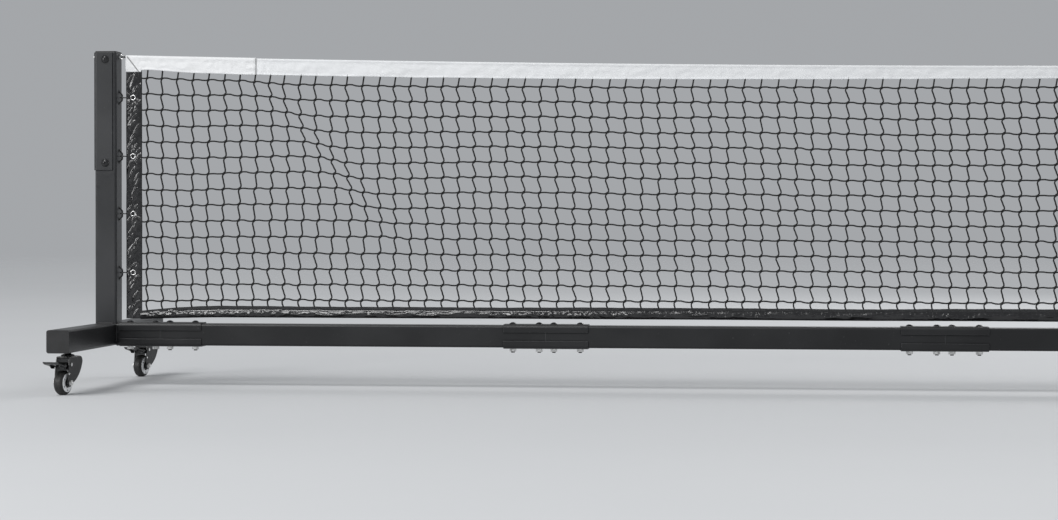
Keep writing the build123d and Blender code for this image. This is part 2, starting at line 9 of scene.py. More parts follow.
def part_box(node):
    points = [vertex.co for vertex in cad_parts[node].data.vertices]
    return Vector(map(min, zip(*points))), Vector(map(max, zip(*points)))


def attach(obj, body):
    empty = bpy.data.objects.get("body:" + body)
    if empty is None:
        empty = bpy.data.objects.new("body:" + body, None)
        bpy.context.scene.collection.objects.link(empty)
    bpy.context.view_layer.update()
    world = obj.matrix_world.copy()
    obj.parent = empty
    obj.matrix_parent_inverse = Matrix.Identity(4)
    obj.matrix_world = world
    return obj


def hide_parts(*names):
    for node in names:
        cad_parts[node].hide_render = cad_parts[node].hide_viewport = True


# The looks of a wheeled pickleball net, in metres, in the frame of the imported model:
# X along the net, Y across it, Z up, with the origin on the floor midway between the posts.

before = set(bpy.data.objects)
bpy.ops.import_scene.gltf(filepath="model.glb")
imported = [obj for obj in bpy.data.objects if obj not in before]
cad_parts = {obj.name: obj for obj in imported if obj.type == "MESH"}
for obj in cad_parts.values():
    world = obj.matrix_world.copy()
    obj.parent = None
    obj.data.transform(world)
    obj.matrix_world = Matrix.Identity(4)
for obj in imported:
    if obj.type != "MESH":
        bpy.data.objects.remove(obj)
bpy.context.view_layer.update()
scene = bpy.context.scene


# ---------------------------------------------------------------- camera, light and floor

CAMERA_PLACE = Vector((-1.5292, -6.1527, 0.4349))
CAMERA_YAW, CAMERA_PITCH, CAMERA_ROLL = (math.radians(a) for a in (6.05, 0.80, 0.06))


def add_camera():
    data = bpy.data.cameras.new("camera")
    data.sensor_width = 36
    data.lens = 77.45
    data.clip_end = 200
    camera = bpy.data.objects.new("camera", data)
    turn = Matrix.Rotation(CAMERA_YAW, 4, "Z") @ Matrix.Rotation(math.pi / 2 - CAMERA_PITCH, 4, "X")
    turn = turn @ Matrix.Rotation(CAMERA_ROLL, 4, "Z")
    camera.matrix_world = Matrix.Translation(CAMERA_PLACE) @ turn
    scene.collection.objects.link(camera)
    scene.camera = camera


def add_softbox(name, place, target, size, power):
    data = bpy.data.lights.new(name, "AREA")
    data.shape = "RECTANGLE"
    data.size, data.size_y = size
    data.energy = power
    light = bpy.data.objects.new(name, data)
    light.location = place
    light.rotation_euler = (Vector(target) - Vector(place)).to_track_quat("-Z", "Y").to_euler()
    scene.collection.objects.link(light)


def add_lights():
    sun = bpy.data.lights.new("sky_glow", "SUN")
    sun.energy = 1.25
    sun.angle = math.radians(28)
    lamp = bpy.data.objects.new("sky_glow", sun)
    lamp.rotation_euler = (math.radians(24), math.radians(-20), 0)
    scene.collection.objects.link(lamp)
    add_softbox("front_box", (-4.5, -7.0, 4.2), (-1.0, 0, 0.4), (3.6, 1.5), 185)
    add_softbox("back_box", (2.0, 6.5, 4.5), (0, 0, 0.5), (6.0, 1.6), 170)
    add_softbox("left_box", (-7.6, -4.4, 2.0), (-3.3, 0, 0.5), (2.2, 1.5), 120)
    add_softbox("right_box", (8.5, -2.0, 3.0), (2.5, 0, 0.5), (2.4, 1.6), 60)
    world = bpy.data.worlds.new("studio")
    world.use_nodes = True
    background = world.node_tree.nodes["Background"]
    background.inputs["Color"].default_value = (0.93, 0.96, 1.0, 1)
    background.inputs["Strength"].default_value = 0.40
    scene.world = world
    scene.view_settings.view_transform = "Standard"


# ---------------------------------------------------------------- materials

class Material:
    """One node material with a Principled shader, and short calls for the nodes it needs."""

    def __init__(self, name):
        self.material = bpy.data.materials.new(name)
        self.material.use_nodes = True
        self.tree = self.material.node_tree
        self.tree.nodes.clear()
        self.out = self.tree.nodes.new("ShaderNodeOutputMaterial")
        self.shader = self.tree.nodes.new("ShaderNodeBsdfPrincipled")
        self.tree.links.new(self.shader.outputs[0], self.out.inputs["Surface"])
        self.place = self.add("ShaderNodeTexCoord").outputs["Object"]
        self.uv = self.add("ShaderNodeUVMap").outputs["UV"]

    def link(self, value, socket):
        if isinstance(value, bpy.types.NodeSocket):
            self.tree.links.new(value, socket)
        elif isinstance(value, tuple) and len(value) == 3 and socket.type == "RGBA":
            socket.default_value = (*value, 1)
        else:
            socket.default_value = value

    def add(self, kind, *values, **settings):
        node = self.tree.nodes.new(kind)
        for key, value in settings.items():
            setattr(node, key, value)
        for socket, value in zip(node.inputs, values):
            if value is not None:
                self.link(value, socket)
        return node

    def set(self, **values):
        for name, value in values.items():
            self.link(value, self.shader.inputs[name.replace("_", " ")])

    def math(self, operation, a, b=0.0, c=0.0):
        return self.add("ShaderNodeMath", a, b, c, operation=operation).outputs[0]

    def stretch(self, vector, scales):
        return self.add("ShaderNodeVectorMath", vector, scales, operation="MULTIPLY").outputs[0]

    def noise(self, scale, detail=2.0, vector=None, rough=0.55):
        node = self.add("ShaderNodeTexNoise")
        self.link(self.place if vector is None else vector, node.inputs["Vector"])
        for name, value in (("Scale", scale), ("Detail", detail), ("Roughness", rough)):
            node.inputs[name].default_value = value
        return node.outputs["Fac"]

    def range(self, value, low, high, to_low=0.0, to_high=1.0):
        node = self.add("ShaderNodeMapRange", interpolation_type="SMOOTHSTEP")
        for socket, number in zip(node.inputs, (value, low, high, to_low, to_high)):
            self.link(number, socket)
        return node.outputs[0]

    def mix(self, share, a, b):
        node = self.add("ShaderNodeMix", data_type="RGBA")
        self.link(share, node.inputs[0])
        self.link(a, node.inputs[6])
        self.link(b, node.inputs[7])
        return node.outputs[2]

    def parts(self, vector):
        return self.add("ShaderNodeSeparateXYZ", vector).outputs

    def bump(self, height, depth, strength=1.0, normal=None):
        node = self.add("ShaderNodeBump")
        self.link(strength, node.inputs["Strength"])
        self.link(depth, node.inputs["Distance"])
        self.link(height, node.inputs["Height"])
        if normal is not None:
            self.link(normal, node.inputs["Normal"])
        return node.outputs[0]

    def facing_up(self, low=0.5, high=0.95):
        normal = self.add("ShaderNodeNewGeometry").outputs["Normal"]
        return self.range(self.parts(normal)[2], low, high)


def powder_coat(name, dark, light, roughness, dust):
    """Baked powder coat: fine orange peel, slight mottling, rubbed patches, dust on the tops that also paints them
    lighter as lit from above, edges lightened as wear and as painted highlights, and painted shade in crevices.
    """
    m = Material(name)
    mottle = m.noise(5, 3)
    peel = m.noise(520, 1.5)
    grain = m.noise(2600, 1)
    rubbed = m.range(m.noise(14, 4, m.stretch(m.place, (1, 3, 3))), 0.60, 0.72)
    specks = m.range(m.noise(160, 2), 0.71, 0.78)
    # Dust on the upward faces, which also paints them lighter as the light from above would.
    settled = m.math("MULTIPLY", m.facing_up(), m.range(m.noise(9, 4), 0.30, 0.75, 0.35, 1.0))
    colour = m.mix(m.range(mottle, 0.35, 0.68), dark, light)
    colour = m.mix(m.math("MULTIPLY", specks, 0.25), colour, (0.16, 0.16, 0.16))
    colour = m.mix(m.math("MULTIPLY", settled, dust), colour, (0.30, 0.29, 0.28))
    edges = m.add("ShaderNodeBevel", samples=6)
    edges.inputs["Radius"].default_value = 0.0016
    flat = m.add("ShaderNodeNewGeometry").outputs["Normal"]
    same = m.add("ShaderNodeVectorMath", edges.outputs[0], flat, operation="DOT_PRODUCT").outputs["Value"]
    # Edges lightened partly as worn coat and partly as a painted edge highlight.
    worn = m.math("MULTIPLY", m.range(same, 0.90, 0.995, 1, 0), m.range(m.noise(30, 4), 0.3, 0.6, 0.35, 1.0))
    colour = m.mix(m.math("MULTIPLY", worn, 0.55), colour, (0.13, 0.135, 0.14))
    shine = m.range(mottle, 0.3, 0.7, roughness - 0.05, roughness + 0.06)
    shine = m.math("SUBTRACT", shine, m.math("MULTIPLY", rubbed, 0.07))
    normal = m.bump(peel, 0.00022, 0.55, edges.outputs[0])
    normal = m.bump(grain, 0.00004, 0.5, normal)
    # Painted shade: ambient occlusion turns down the specular and the coat in crevices and joins, so they read as
    # dark shadow lines.
    corner = m.add("ShaderNodeAmbientOcclusion", samples=6)
    corner.inputs["Distance"].default_value = 0.006
    open_share = m.range(corner.outputs["AO"], 0.45, 0.95, 0.15, 1.0)
    m.set(Base_Color=colour, Roughness=shine, Normal=normal)
    m.set(Specular_IOR_Level=m.math("MULTIPLY", open_share, 0.38))
    m.set(Coat_Weight=m.math("MULTIPLY", open_share, 0.06), Coat_Roughness=0.25)
    return m.material


def bright_metal(name, colour, roughness, turned=0.0):
    """Plated steel: a faint iridescent mottle, fine scratches and darker grime in patches."""
    m = Material(name)
    scratch = m.noise(900, 2, m.stretch(m.place, (1, 1, 7)))
    mottle = m.noise(120, 3)
    tint = m.mix(m.range(mottle, 0.35, 0.7), colour, tuple(0.72 * c for c in colour))
    tint = m.mix(m.range(m.noise(60, 4), 0.62, 0.75, 0, 0.5), tint, (0.12, 0.11, 0.10))
    normal = m.bump(scratch, 0.00004, 0.6)
    if turned:
        ring = m.math("SINE", m.math("MULTIPLY", m.parts(m.place)[2], turned))
        normal = m.bump(ring, 0.0004, 0.8, normal)
    m.set(Base_Color=tint, Metallic=1.0, Normal=normal)
    m.set(Roughness=m.range(mottle, 0.3, 0.7, roughness - 0.06, roughness + 0.10))
    return m.material


def black_hardware():
    """Blackened bolt heads and rod: glossy on the domes, threads on the bolt ends below the beam."""
    m = Material("black_hardware")
    mottle = m.noise(220, 3)
    colour = m.mix(m.range(mottle, 0.35, 0.7), (0.004, 0.004, 0.005), (0.009, 0.009, 0.010))
    height = m.parts(m.place)[2]
    thread = m.math("SINE", m.math("MULTIPLY", height, 2 * math.pi / 0.0015))
    below = m.range(height, 0.100, 0.099)
    normal = m.bump(m.noise(1500, 2), 0.00004, 0.5)
    normal = m.bump(m.math("MULTIPLY", thread, below), 0.0005, 0.9, normal)
    m.set(Base_Color=colour, Roughness=m.range(mottle, 0.3, 0.7, 0.20, 0.34), Normal=normal)
    m.set(Specular_IOR_Level=0.4, Coat_Weight=0.3, Coat_Roughness=0.06)
    return m.material


def moulded_plastic():
    m = Material("black_plastic")
    grain = m.noise(1400, 2)
    colour = m.mix(m.range(m.noise(30, 3), 0.35, 0.7), (0.006, 0.006, 0.0065), (0.011, 0.011, 0.012))
    # Dust on the upward faces, which also paints them lighter as lit from above.
    colour = m.mix(m.math("MULTIPLY", m.facing_up(), 0.06), colour, (0.30, 0.29, 0.28))
    m.set(Base_Color=colour, Roughness=m.range(m.noise(45, 3), 0.3, 0.7, 0.42, 0.58))
    m.set(Normal=m.bump(grain, 0.00010, 0.7))
    return m.material


def steel_cable():
    """Coated wire rope: the strands show as slanting ridges under the coating."""
    m = Material("cable")
    u, v, _ = m.parts(m.uv)
    turn = m.math("ADD", m.math("MULTIPLY", u, 2 * math.pi / 0.018), m.math("MULTIPLY", v, 2 * math.pi))
    lay = m.math("SINE", m.math("MULTIPLY", turn, 6))
    m.set(Base_Color=m.mix(m.range(lay, -1, 1), (0.010, 0.010, 0.010), (0.03, 0.03, 0.03)))
    m.set(Roughness=0.35, Normal=m.bump(lay, 0.0004, 0.8), Coat_Weight=0.3, Coat_Roughness=0.2)
    return m.material


def tyre_rubber(centre, axis):
    """Moulded rubber: dusty tread, a parting line round the middle and concentric marks at the side."""
    m = Material("tyre")
    away = m.add("ShaderNodeVectorMath", m.place, tuple(centre), operation="SUBTRACT").outputs[0]
    along = m.add("ShaderNodeVectorMath", away, tuple(axis), operation="DOT_PRODUCT").outputs["Value"]
    radius = m.add("ShaderNodeVectorMath", away, operation="LENGTH").outputs["Value"]
    tread = m.range(radius, 0.0295, 0.0312)
    scuff = m.range(m.noise(260, 4), 0.42, 0.66)
    dusty = m.math("MULTIPLY", tread, scuff)
    colour = m.mix(m.range(m.noise(40, 3), 0.3, 0.7), (0.005, 0.005, 0.005), (0.009, 0.009, 0.009))
    colour = m.mix(m.math("MULTIPLY", dusty, 0.20), colour, (0.11, 0.105, 0.10))
    line = m.range(m.math("ABSOLUTE", along), 0.0, 0.0005, 1, 0)
    rings = m.math("SINE", m.math("MULTIPLY", radius, 5200))
    normal = m.bump(m.math("ADD", m.math("MULTIPLY", rings, 0.12), m.noise(900, 3)), 0.00018, 0.7)
    normal = m.bump(line, 0.0003, 0.6, normal)
    m.set(Base_Color=colour, Roughness=m.range(dusty, 0, 1, 0.46, 0.72), Normal=normal)
    return m.material


def wheel_hub(centre, axis):
    """A pale glossy ring on each side of the wheel, with a dark core inside it."""
    m = Material("wheel_hub")
    away = m.add("ShaderNodeVectorMath", m.place, tuple(centre), operation="SUBTRACT").outputs[0]
    along = m.add("ShaderNodeVectorMath", away, tuple(axis), operation="DOT_PRODUCT").outputs["Value"]
    whole = m.add("ShaderNodeVectorMath", away, operation="LENGTH").outputs["Value"]
    square = m.math("SUBTRACT", m.math("POWER", whole, 2.0), m.math("POWER", along, 2.0))
    radius = m.math("SQRT", m.math("MAXIMUM", square, 0.0))
    outside = m.range(m.math("ABSOLUTE", along), 0.0122, 0.0130)
    ring = m.math("MULTIPLY", m.range(radius, 0.0118, 0.0126), outside)
    grime = m.range(m.noise(190, 4), 0.55, 0.75, 0, 0.3)
    pale = m.mix(grime, (0.88, 0.89, 0.90), (0.42, 0.41, 0.40))
    colour = m.mix(ring, (0.012, 0.012, 0.013), pale)
    turned = m.math("SINE", m.math("MULTIPLY", radius, 9000))
    m.set(Base_Color=colour, Metallic=m.math("MULTIPLY", ring, 0.35))
    m.set(Roughness=m.range(m.noise(70, 3), 0.3, 0.7, 0.20, 0.36))
    m.set(Normal=m.bump(turned, 0.00005, 0.6), Coat_Weight=0.5, Coat_Roughness=0.12)
    return m.material


def tape_vinyl(name, shade, dirty_line):
    """White coated tape: a fine plain weave under the coating, whiter where the hem doubles it,
    with a stitched line along the hem. U runs along the tape, V across it from hem to hem.
    The last argument, called with the material, gives how far a point lies from the fold or seam, along which a
    painted shadow line darkens the colour."""
    m = Material(name)
    u, v, _ = m.parts(m.uv)
    across = m.math("ABSOLUTE", v)
    warp = m.math("SINE", m.math("MULTIPLY", u, 2 * math.pi / 0.0011))
    weft = m.math("SINE", m.math("MULTIPLY", v, 2 * math.pi / 0.0011))
    weave = m.math("MULTIPLY", warp, weft)
    doubled = m.range(across, 0.0068, 0.0080, 1, 0)
    soil = m.range(m.noise(2.2, 5, rough=0.65), 0.50, 0.76)
    smear = m.range(m.noise(26, 4, m.stretch(m.place, (1, 1, 4))), 0.55, 0.78, 0, 0.5)
    colour = m.mix(doubled, tuple(0.86 * c for c in shade), shade)
    colour = m.mix(m.math("MULTIPLY", soil, 0.16), colour, (0.42, 0.41, 0.39))
    colour = m.mix(m.math("MULTIPLY", smear, 0.14), colour, (0.50, 0.50, 0.49))
    step = m.math("FRACT", m.math("DIVIDE", u, 0.0042))
    dash = m.math("MULTIPLY", m.range(step, 0.06, 0.14), m.range(step, 0.72, 0.80, 1, 0))
    row = m.range(m.math("ABSOLUTE", m.math("SUBTRACT", across, 0.0062)), 0.0003, 0.0007, 1, 0)
    stitch = m.math("MULTIPLY", dash, row)
    groove = m.math("SUBTRACT", stitch, m.math("MULTIPLY", row, 0.6))
    # Painted shade: the pressed groove between the stitches is darkened.
    colour = m.mix(m.math("MULTIPLY", m.math("SUBTRACT", row, stitch), 0.22), colour, (0.25, 0.25, 0.25))
    # Painted shadow: a dark line along the mitre fold or along the sleeve seam.
    dirt = m.range(m.math("ABSOLUTE", dirty_line(m)), 0.0006, 0.0030, 0.85, 0)
    colour = m.mix(dirt, colour, (0.10, 0.10, 0.10))
    hem = m.range(across, 0.0, 0.0008, 0.3, 0)
    normal = m.bump(m.noise(85, 4, m.stretch(m.place, (1, 1, 2))), 0.0009, 0.35)
    normal = m.bump(weave, 0.00007, 0.6, normal)
    normal = m.bump(m.math("ADD", groove, hem), 0.0005, 0.9, normal)
    m.set(Base_Color=colour, Roughness=m.range(m.noise(30, 3), 0.3, 0.7, 0.42, 0.56), Normal=normal)
    m.set(Specular_IOR_Level=0.45, Sheen_Weight=0.08)
    return m.material


def seam_line(m):
    """How far a point lies outside the seam where the sleeve of the headband starts."""
    return m.math("SUBTRACT", m.math("ABSOLUTE", m.parts(m.place)[0]), SEAM_X - 0.0006)


def mitre_line(m):
    """How far a point lies from the slanting fold at the end of the headband."""
    x, _, z = m.parts(m.place)
    inward = m.math("SUBTRACT", NET_END - MITRE_START, m.math("ABSOLUTE", x))
    depth = m.math("SUBTRACT", HEAD_HIGH.z, z)
    below = m.math("GREATER_THAN", depth, 0.0035)
    distance = m.math("SUBTRACT", inward, m.math("MULTIPLY", depth, MITRE_SLOPE))
    return m.math("ADD", distance, m.math("SUBTRACT", 1.0, below))


def band_vinyl():
    """Black glossy vinyl: a fine grain, soft dimples and hairline crinkles, and a thin clear coat."""
    m = Material("black_vinyl")
    cells = m.add("ShaderNodeTexVoronoi", m.stretch(m.place, (1, 1, 0.6)), feature="DISTANCE_TO_EDGE")
    cells.inputs["Scale"].default_value = 85
    crinkle = m.range(cells.outputs["Distance"], 0.0, 0.14, 1, 0)
    dimples = m.noise(75, 3, rough=0.5)
    grain = m.noise(900, 2)
    colour = m.mix(m.range(dimples, 0.35, 0.7), (0.004, 0.004, 0.0045), (0.008, 0.008, 0.009))
    normal = m.bump(dimples, 0.0010, 0.45)
    normal = m.bump(crinkle, 0.0004, 0.45, normal)
    normal = m.bump(grain, 0.00003, 0.5, normal)
    m.set(Base_Color=colour, Roughness=m.range(dimples, 0.35, 0.7, 0.13, 0.24), Normal=normal)
    m.set(Specular_IOR_Level=0.45, Coat_Weight=0.55, Coat_Roughness=0.06)
    return m.material


def net_cord():
    """Braided black cord: a slanting braid along each cord. U runs along a cord, V round it."""
    m = Material("net_cord")
    u, v, _ = m.parts(m.uv)
    one, other = (
        m.math("SINE", m.math(way, m.math("MULTIPLY", u, 2400), m.math("MULTIPLY", v, 4 * math.pi)))
        for way in ("ADD", "SUBTRACT")
    )
    braid = m.math("MAXIMUM", one, other)
    tint = m.mix(m.range(m.noise(22, 4), 0.35, 0.7), (0.003, 0.003, 0.003), (0.008, 0.008, 0.008))
    m.set(Base_Color=m.mix(m.range(braid, -0.4, 1.0, 0, 0.5), tint, (0.016, 0.016, 0.016)))
    m.set(Roughness=0.55, Normal=m.bump(braid, 0.00035, 0.8), Specular_IOR_Level=0.35)
    return m.material


def floor_material():
    """Pale seamless floor that fades into the backdrop far from the object."""
    m = Material("floor")
    tone = m.mix(m.noise(0.9, 4), (0.555, 0.565, 0.575), (0.585, 0.592, 0.60))
    m.set(Base_Color=tone, Roughness=0.72, Normal=m.bump(m.noise(60, 3), 0.001, 0.12))
    far = m.add("ShaderNodeVectorMath", m.place, operation="LENGTH").outputs["Value"]
    clear = m.add("ShaderNodeBsdfTransparent")
    blend = m.add("ShaderNodeMixShader")
    m.link(m.range(far, 9, 34), blend.inputs[0])
    m.link(m.shader.outputs[0], blend.inputs[1])
    m.link(clear.outputs[0], blend.inputs[2])
    m.link(blend.outputs[0], m.out.inputs["Surface"])
    return m.material


# ---------------------------------------------------------------- mesh building

class Shape:
    """Collects vertices, faces and UVs, then makes one piece of them."""

    def __init__(self):
        self.points, self.faces, self.uvs = [], [], []
        self.count = 0

    def grid(self, points, uv, closed_v=False):
        """A grid of points (rows, columns, 3) with its UVs (rows, columns, 2), as quads."""
        rows, columns = points.shape[:2]
        index = self.count + np.arange(rows * columns).reshape(rows, columns)
        self.points.append(points.reshape(-1, 3))
        self.count += rows * columns
        if closed_v:
            index = np.hstack([index, index[:, :1]])
        quads = np.stack([index[:-1, :-1], index[1:, :-1], index[1:, 1:], index[:-1, 1:]], axis=-1)
        corners = np.stack([uv[:-1, :-1], uv[1:, :-1], uv[1:, 1:], uv[:-1, 1:]], axis=2)
        self.faces.append(quads.reshape(-1, 4))
        self.uvs.append(corners.reshape(-1, 2))

    def tube(self, path, radius, sides, side_way=None):
        """A round tube along a path of points. side_way is a direction the path never runs in."""
        path = np.asarray(path, float)
        radius = np.broadcast_to(radius, len(path))
        tangent = np.gradient(path, axis=0)
        tangent /= np.linalg.norm(tangent, axis=1)[:, None]
        out = np.broadcast_to((0.0, 1.0, 0.0) if side_way is None else side_way, path.shape)
        other = np.cross(tangent, out)
        other /= np.linalg.norm(other, axis=1)[:, None]
        out = np.cross(other, tangent)
        angle = np.linspace(0, 2 * math.pi, sides, endpoint=False)
        ring = np.cos(angle)[None, :, None] * out[:, None] + np.sin(angle)[None, :, None] * other[:, None]
        points = path[:, None] + radius[:, None, None] * ring
        length = np.concatenate([[0], np.cumsum(np.linalg.norm(np.diff(path, axis=0), axis=1))])
        uv = np.stack(np.meshgrid(length, np.linspace(0, 1, sides + 1), indexing="ij"), axis=-1)
        self.grid(points, uv, closed_v=True)

    def finish(self, name, material, replaces=(), body="root"):
        mesh = bpy.data.meshes.new(name)
        points = np.concatenate(self.points)
        faces = np.concatenate(self.faces)
        mesh.vertices.add(len(points))
        mesh.vertices.foreach_set("co", points.astype(np.float32).ravel())
        mesh.loops.add(faces.size)
        mesh.loops.foreach_set("vertex_index", faces.astype(np.int32).ravel())
        mesh.polygons.add(len(faces))
        mesh.polygons.foreach_set("loop_start", np.arange(0, faces.size, 4, dtype=np.int32))
        mesh.polygons.foreach_set("use_smooth", np.ones(len(faces), dtype=bool))
        layer = mesh.uv_layers.new(name="UVMap")
        layer.data.foreach_set("uv", np.concatenate(self.uvs).astype(np.float32).ravel())
        mesh.update(calc_edges=True)
        mesh.validate()
        mesh.materials.append(material)
        piece = bpy.data.objects.new(name, mesh)
        scene.collection.objects.link(piece)
        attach(piece, body)
        if replaces:
            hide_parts(*replaces)
        return piece


def ripple(x, z, seed, scale):
    """Smooth noise from -1 to 1 over a surface."""
    return noise.noise(Vector((x / scale + 17.3 * seed, seed * 5.1, z / scale - 3.7 * seed)))


def fold(x, z, seed, scale):
    """Noise with narrow ridges, as creases in vinyl have."""
    return 1 - 2.6 * abs(ripple(x, z, seed, scale))


# ---------------------------------------------------------------- sizes taken from the model

HEAD_LOW, HEAD_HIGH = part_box("headband")
SIDE_LOW, SIDE_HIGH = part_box("left_side_band")
PANEL_LOW, PANEL_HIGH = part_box("net_panel")
BAND_LOW, BAND_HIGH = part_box("bottom_band")
POST_LOW, POST_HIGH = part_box("left_post")
FOOT_LOW, FOOT_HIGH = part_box("left_foot_tube")

NET_END = HEAD_HIGH.x
PANEL_END = PANEL_HIGH.x
POST_X = -(POST_LOW.x + POST_HIGH.x) / 2
HALF_TUBE = (POST_HIGH.x - POST_LOW.x) / 2
FOOT_TOP = FOOT_HIGH.z
FOOT_BOTTOM = FOOT_LOW.z
CABLE_END_Z = HEAD_HIGH.z - 0.0045
CABLE_DROOP = 0.0465
EDGE_MIDDLE_Z = HEAD_LOW.z + 0.0032
EDGE_RISE = 0.0365
SEAM_X = NET_END - 0.366
FLAP_REACH = 0.0435
FLAP_EDGE_Z = SIDE_HIGH.z + 0.0004
MITRE_START, MITRE_SLOPE = 0.0015, 0.775
EYE_LOOP_RADIUS = 0.0050
GROMMET_X = POST_X - 0.070
GROMMET_HEIGHTS = (0.311, 0.474, 0.633, 0.795)


def cable_z(x):
    return CABLE_END_Z - CABLE_DROOP * (1 - (x / NET_END) ** 2)


def tape_edge_z(x):
    """The lower edge of the headband: nearly level over the middle, rising towards the posts."""
    s = (x / NET_END) ** 2
    return EDGE_MIDDLE_Z + EDGE_RISE * (0.18 * s + 0.82 * s * s)


def sleeve_edge_z(x):
    """The lower edge of an end sleeve: a level flap at the end, and drawn up just inside it."""
    inward = NET_END - abs(x)
    if inward < FLAP_REACH:
        return FLAP_EDGE_Z
    return tape_edge_z(x) - 0.0006 + 0.0050 * math.exp(-(((inward - 0.07) / 0.08) ** 2))


def band_top_z(x):
    """The top edge of the bottom band, which is drawn down a little at both ends."""
    near = max(0.0, 1 - (PANEL_END - abs(x)) / 0.22)
    return BAND_HIGH.z + 0.0020 + 0.0030 * ripple(x, 0, 4, 0.42) - 0.015 * near**1.5


def band_low_z(x):
    near = max(0.0, 1 - (PANEL_END - abs(x)) / 0.22)
    return BAND_LOW.z + 0.0016 * ripple(x, 0, 5, 0.5) - 0.005 * near**1.5


# ---------------------------------------------------------------- the net

COLUMNS = 145
ROWS = 15
CORD_RADIUS = 0.0023
KNOT_RADIUS = 0.0019
EDGE_COLUMN = 0.0150
FRONT_ACROSS, FRONT_UP = 0.757, 0.653


def column_places():
    """Where each column hangs: 42 mm apart by the posts, opening to 45.6 mm over the middle."""
    gaps = [0.0420 + 0.0036 * min(1.0, min(k, COLUMNS - 2 - k) / 26) for k in range(COLUMNS - 1)]
    reach = PANEL_END - EDGE_COLUMN
    places = np.concatenate([[0], np.cumsum(gaps)])
    return -reach + 2 * reach * places / places[-1]


def pushed(x, z):
    """How far the mesh is shoved along a slanting front that runs down from near the end sleeve."""
    across = (NET_END - 0.340 - abs(x)) * FRONT_ACROSS + (z - 0.850) * FRONT_UP
    step = min(1.0, max(0.0, (across + 0.03) / 0.10))
    behind = 1 - step * step * (3 - 2 * step)
    held = min(1.0, (PANEL_END - abs(x)) / 0.24)
    return 0.021 * behind * held * math.exp(-((across / 0.30) ** 2))


def knot_places(rng):
    """The knots, (column, row, 3), with the slow drifts and small jitter of a hand-hung net."""
    knots = np.zeros((COLUMNS, ROWS, 3))
    for i, x in enumerate(column_places()):
        top = (sleeve_edge_z(x) if abs(x) > SEAM_X else tape_edge_z(x)) - 0.0225
        last = BAND_HIGH.z + 0.0190 - 0.0050 * max(0.0, 1 - (PANEL_END - abs(x)) / 0.3)
        for j in range(ROWS):
            down = j / (ROWS - 1)
            z = top + (last - top) * down
            held = math.sin(math.pi * min(1.0, down * 1.15 + 0.08)) ** 0.6
            drift_x = 0.0075 * ripple(x, z, 1, 0.55) + 0.0030 * ripple(x, z, 2, 0.16)
            drift_z = 0.0060 * ripple(x, z, 3, 0.60) + 0.0030 * ripple(x, z, 6, 0.20)
            drift_x += math.copysign(FRONT_ACROSS * pushed(x, z), -x)
            drift_z += FRONT_UP * pushed(x, z)
            knots[i, j] = (
                x + held * drift_x + rng.uniform(-0.0013, 0.0013),
                0.0007 * ripple(x, z, 7, 0.3),
                z + held * drift_z + rng.uniform(-0.0011, 0.0011),
            )
    return knots


def swing(t, size):
    """How far a hanging cord leaves the straight line below a knot: out to its left, then right."""
    return -size * (math.sin(2 * math.pi * t) + 0.30 * math.sin(4 * math.pi * t))


def hanging_cord(knots, i, rng):
    """One upright cord: from inside the headband, through every knot, into the bottom band."""
    x, _, z = knots[i, 0]
    cell = (knots[i, 0, 2] - knots[i, ROWS - 1, 2]) / (ROWS - 1)
    calm = 0.70 + 0.30 * min(1.0, (PANEL_END - abs(x)) / 0.5)
    edge = sleeve_edge_z(x) if abs(x) > SEAM_X else tape_edge_z(x)
    lean = calm * rng.uniform(0.0050, 0.0085)
    path = [
        (x + lean * (1 - t), 0, min(z + (1 - t) * cell, edge + 0.007))
        for t in (0.30, 0.45, 0.60, 0.75, 0.90)
    ]
    for j in range(ROWS - 1):
        size = calm * rng.uniform(0.0027, 0.0042)
        start, end = knots[i, j], knots[i, j + 1]
        belly = rng.uniform(-0.0006, 0.0006)
        for t in (0.0, 0.10, 0.21, 0.33, 0.46, 0.60, 0.73, 0.86):
            point = start + (end - start) * t
            path.append((point[0] + swing(t, size), point[1] + belly * math.sin(math.pi * t), point[2]))
    last = knots[i, ROWS - 1]
    low = band_top_z(x) - 0.008
    for t in (0.0, 0.12, 0.27, 0.45, 0.63):
        path.append((last[0] + swing(t, size), 0, last[2] - t * cell))
    path.append((last[0] + swing(0.75, size), 0, min(low, last[2] - 0.7 * cell)))
    return path


def level_cord(knots, j, first, last, rng):
    """A level cord from one column to another, bowed a little between its knots."""
    path = []
    if first == 0:
        x, y, z = knots[0, j]
        path += [(-PANEL_END - 0.006, 0, z + 0.0012), (x - 0.010, 0, z - 0.0012)]
    for i in range(first, last):
        bow = rng.uniform(0.0008, 0.0022)
        start, end = knots[i, j], knots[i + 1, j]
        for t in (0.0, 0.15, 0.35, 0.6, 0.82):
            point = start + (end - start) * t
            path.append((point[0], point[1], point[2] + bow * math.sin(2 * math.pi * t)))
    path.append(tuple(knots[last, j]))
    if last == COLUMNS - 1:
        x, y, z = knots[last, j]
        path += [(x + 0.010, 0, z + 0.0012), (PANEL_END + 0.006, 0, z - 0.0010)]
    return path


def add_knot(shape, centre, rng):
    """Two tight turns of cord about the slanting line where the cords cross."""
    lean = math.radians(52 + rng.uniform(-9, 9))
    along = np.array((math.cos(lean), 0, math.sin(lean)))
    side = np.array((-math.sin(lean), 0, math.cos(lean)))
    t = np.linspace(0, 1, 15)
    angle = 2 * math.pi * 1.9 * t + rng.uniform(0, 2 * math.pi)
    round_way = np.cos(angle)[:, None] * side + np.sin(angle)[:, None] * np.array((0, 1.0, 0))
    wide = 0.0019 + 0.0004 * np.sin(math.pi * t)
    path = centre + (t[:, None] - 0.5) * 0.0062 * along + wide[:, None] * round_way
    shape.tube(path, KNOT_RADIUS * np.sin(math.pi * (0.08 + 0.84 * t)) ** 0.35, 5, round_way)


